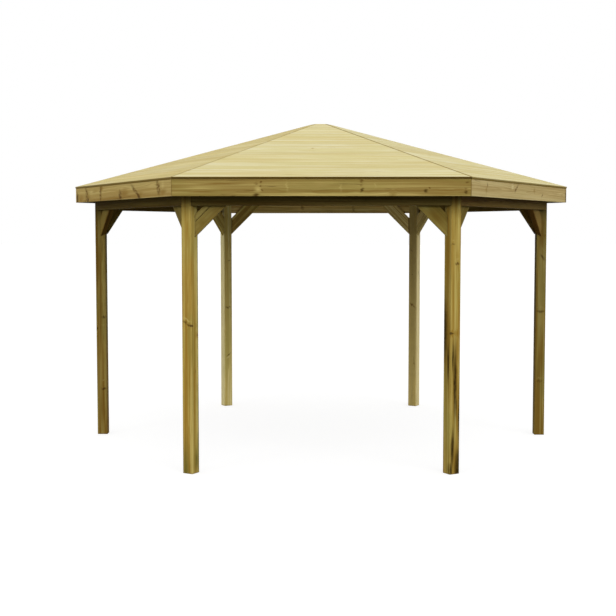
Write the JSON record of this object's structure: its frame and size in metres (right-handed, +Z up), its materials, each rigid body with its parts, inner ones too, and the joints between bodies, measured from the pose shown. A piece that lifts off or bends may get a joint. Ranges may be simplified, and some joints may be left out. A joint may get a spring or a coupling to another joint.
{
  "type": "garden gazebo",
  "caption": "Open hexagonal garden gazebo of treated softwood: square posts, ring beams with knee braces, and a low boarded hip roof with a fascia.",
  "frame": {"origin": "on the ground, under the apex of the roof", "axes": "+Z up, the front side faces -Y, and +X runs through the middle of the right-hand post"},
  "size_m": [4.4658, 3.8716, 2.8177],
  "materials": {
    "post_timber": "planed, pressure-treated softwood with an olive tint",
    "beam_timber": "planed, pressure-treated softwood",
    "brace_timber": "planed, pressure-treated softwood",
    "rafter_timber": "planed, pressure-treated softwood",
    "fascia_timber": "planed, pressure-treated softwood, knotty",
    "roof_boards": "pale planed softwood boards"
  },
  "bodies": {
    "root": {"post_right": "post_timber", "post_back_right": "post_timber", "post_back_left": "post_timber", "post_left": "post_timber", "post_front_left": "post_timber", "post_front_right": "post_timber", "beam_back_right": "beam_timber", "beam_back": "beam_timber", "beam_back_left": "beam_timber", "beam_front_left": "beam_timber", "beam_front": "beam_timber", "beam_front_right": "beam_timber", "braces_right": "brace_timber", "braces_back_right": "brace_timber", "braces_back_left": "brace_timber", "braces_left": "brace_timber", "braces_front_left": "brace_timber", "braces_front_right": "brace_timber", "hip_rafter_right": "rafter_timber", "hip_rafter_back_right": "rafter_timber", "hip_rafter_back_left": "rafter_timber", "hip_rafter_left": "rafter_timber", "hip_rafter_front_left": "rafter_timber", "hip_rafter_front_right": "rafter_timber", "common_rafter_back_right": "rafter_timber", "common_rafter_back": "rafter_timber", "common_rafter_back_left": "rafter_timber", "common_rafter_front_left": "rafter_timber", "common_rafter_front": "rafter_timber", "common_rafter_front_right": "rafter_timber", "king_block": "rafter_timber", "roof_cap": "roof_boards", "fascia_back_right": "fascia_timber", "fascia_back": "fascia_timber", "fascia_back_left": "fascia_timber", "fascia_front_left": "fascia_timber", "fascia_front": "fascia_timber", "fascia_front_right": "fascia_timber", "roof_back_right": "roof_boards", "roof_back": "roof_boards", "roof_back_left": "roof_boards", "roof_front_left": "roof_boards", "roof_front": "roof_boards", "roof_front_right": "roof_boards"}
  },
  "joints": []
}
